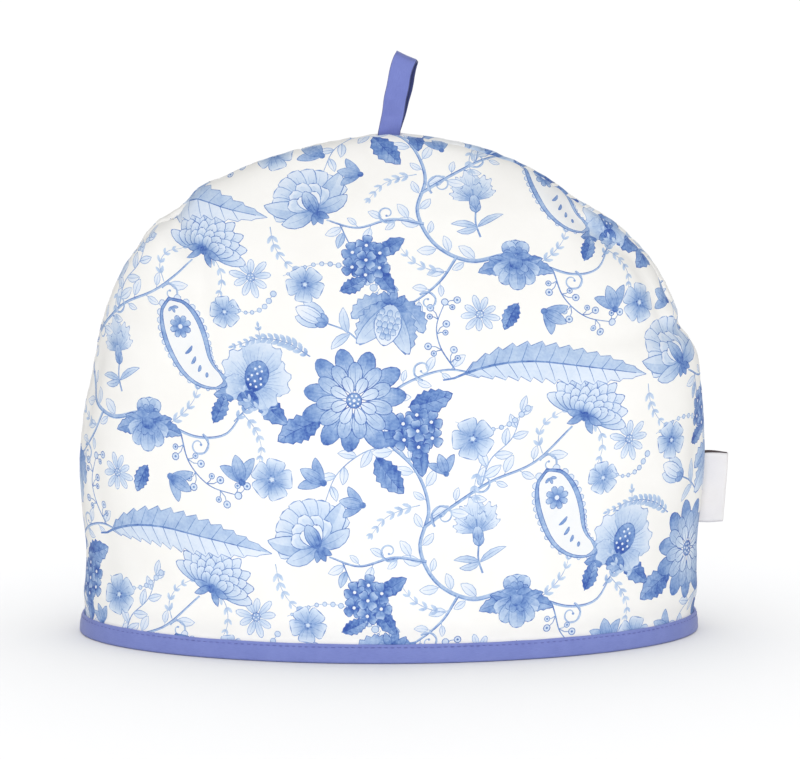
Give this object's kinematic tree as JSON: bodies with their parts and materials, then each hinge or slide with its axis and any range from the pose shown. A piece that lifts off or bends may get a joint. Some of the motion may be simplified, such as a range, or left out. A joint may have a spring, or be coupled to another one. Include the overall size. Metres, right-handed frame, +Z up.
{
  "type": "tea cosy",
  "caption": "Padded tea cosy with two dome-shaped printed cotton panels, a bound hem, a hanging loop at the crest and a small bare tag in the side seam.",
  "frame": {"origin": "on the surface the hem rests on, under the middle of the whole cosy's box", "axes": "+X along the cosy's width towards the side tag, +Y from its front to its back, +Z up"},
  "size_m": [0.3101, 0.1613, 0.2767],
  "materials": {
    "printed_cotton": "plain-woven cotton, warm white with a blue painted floral and paisley print, padded",
    "binding_cotton": "plain-woven cotton, periwinkle blue, with one row of matching stitches",
    "loop_cotton": "folded plain-woven cotton tape, periwinkle blue, edge-stitched",
    "tag_ribbon": "thin satin-woven white ribbon, bare"
  },
  "bodies": {
    "root": {"front_panel": "printed_cotton", "back_panel": "printed_cotton", "hem_binding": "binding_cotton", "hanging_loop": "loop_cotton", "side_tag": "tag_ribbon"}
  },
  "joints": []
}
